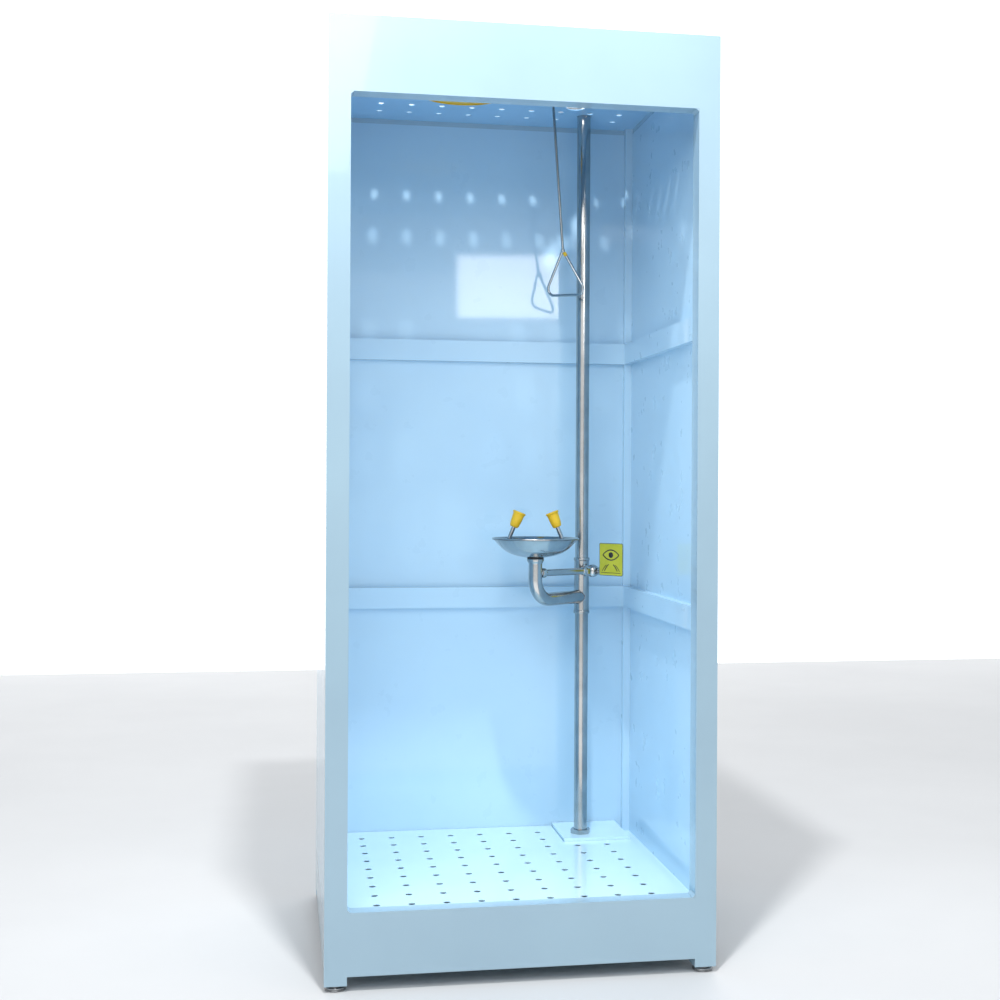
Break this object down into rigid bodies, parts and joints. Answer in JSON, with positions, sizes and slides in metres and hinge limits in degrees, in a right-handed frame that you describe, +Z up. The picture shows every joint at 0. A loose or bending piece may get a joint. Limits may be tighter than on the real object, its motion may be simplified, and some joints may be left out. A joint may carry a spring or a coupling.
{
  "type": "emergency safety shower cabin",
  "caption": "Walk-in emergency shower cabin with a lever-worked eyewash bowl, an overhead drench shower on a pull rod, a perforated lift-out floor and a catch tray.",
  "frame": {"origin": "bottom centre of the cabin's box, on the ground under its levelling feet", "axes": "+Z up, the open front faces -Y, +X to the right seen from the front"},
  "size_m": [1, 0.89, 2.545],
  "materials": {
    "frame_paint": "gloss",
    "wall_paint": "gloss",
    "ceiling_paint": "gloss",
    "floor_paint": "gloss",
    "galvanised": "satin",
    "foot_metal": "satin",
    "stainless": "polished",
    "valve_chrome": "polished",
    "yellow_plastic": "gloss",
    "black_rubber": "matte",
    "sign_plastic": "gloss"
  },
  "bodies": {
    "cabin": {"arm_nipple": "stainless", "back_left_post": "frame_paint", "back_right_post": "frame_paint", "back_wall_panel": "wall_paint", "back_wall_rails": "wall_paint", "base_locknut": "stainless", "base_panel": "frame_paint", "base_rails": "frame_paint", "bowl": "stainless", "bowl_gasket": "black_rubber", "bowl_strainer": "stainless", "catch_tray": "galvanised", "ceiling_beams": "galvanised", "ceiling_panel": "ceiling_paint", "combination_tee": "stainless", "corner_plate": "floor_paint", "drain_coupling": "stainless", "drain_elbow": "stainless", "eyewash_valve_body": "stainless", "floor_bearers": "galvanised", "front_left_post": "frame_paint", "front_right_post": "frame_paint", "header_panel": "frame_paint", "inlet_nipple": "stainless", "left_wall_panel": "wall_paint", "left_wall_rails": "wall_paint", "nozzle_manifold": "stainless", "right_wall_panel": "wall_paint", "right_wall_rails": "wall_paint", "riser_clamp": "galvanised", "riser_pipe": "stainless", "shower_arm": "stainless", "shower_bell": "yellow_plastic", "shower_face_plate": "yellow_plastic", "shower_valve_body": "stainless", "spray_heads": "stainless", "supply_nuts": "stainless", "supply_tube": "stainless", "top_rails": "frame_paint", "top_tee": "stainless", "waste_pipe": "stainless"},
    "shower_lever": {"shower_lever": "stainless", "lever_nut": "stainless", "shower_valve_stem": "stainless", "shower_valve_ball": "valve_chrome"},
    "pull_rod": {"pull_rod": "stainless", "pull_handle": "stainless", "handle_clip": "yellow_plastic"},
    "push_plate": {"push_plate": "stainless", "push_label": "sign_plastic", "eyewash_valve_stem": "stainless", "eyewash_valve_ball": "valve_chrome"},
    "left_dust_cap": {"left_dust_cap": "yellow_plastic"},
    "right_dust_cap": {"right_dust_cap": "yellow_plastic"},
    "floor_panel": {"floor_panel": "floor_paint"},
    "front_left_foot": {"front_left_foot": "foot_metal"},
    "front_right_foot": {"front_right_foot": "foot_metal"},
    "back_left_foot": {"back_left_foot": "foot_metal"},
    "back_right_foot": {"back_right_foot": "foot_metal"}
  },
  "joints": [
    {"name": "shower_lever_turn", "type": "hinge", "parent": "cabin", "child": "shower_lever", "pos_m": [0.19755, 0.13379, 2.45], "axis": [0.6428, -0.766, 0], "range_deg": [0, 90]},
    {"name": "pull_rod_swing", "type": "hinge", "parent": "shower_lever", "child": "pull_rod", "pos_m": [0.15178, 0.10583, 2.50303], "axis": [0.6428, -0.766, 0], "range_deg": [-90, 0]},
    {"name": "push_plate_turn", "type": "hinge", "parent": "cabin", "child": "push_plate", "pos_m": [0.312, 0.22983, 0.997], "axis": [-0.6428, 0.766, 0], "range_deg": [0, 85]},
    {"name": "left_cap_lift", "type": "slide", "parent": "cabin", "child": "left_dust_cap", "axis": [0.3618, -0.0638, 0.9301], "range_m": [0, 0.04]},
    {"name": "right_cap_lift", "type": "slide", "parent": "cabin", "child": "right_dust_cap", "axis": [-0.3618, 0.0638, 0.9301], "range_m": [0, 0.04]},
    {"name": "floor_panel_lift", "type": "slide", "parent": "cabin", "child": "floor_panel", "axis": [0, 0, 1], "range_m": [0, 0.25]},
    {"name": "front_left_foot_screw", "type": "slide", "parent": "cabin", "child": "front_left_foot", "axis": [0, 0, -1], "range_m": [0, 0.015]},
    {"name": "front_right_foot_screw", "type": "slide", "parent": "cabin", "child": "front_right_foot", "axis": [0, 0, -1], "range_m": [0, 0.015]},
    {"name": "back_left_foot_screw", "type": "slide", "parent": "cabin", "child": "back_left_foot", "axis": [0, 0, -1], "range_m": [0, 0.015]},
    {"name": "back_right_foot_screw", "type": "slide", "parent": "cabin", "child": "back_right_foot", "axis": [0, 0, -1], "range_m": [0, 0.015]}
  ],
  "couplings": [
    {"joint": "pull_rod_swing", "follows": "shower_lever_turn", "ratio": -1}
  ]
}
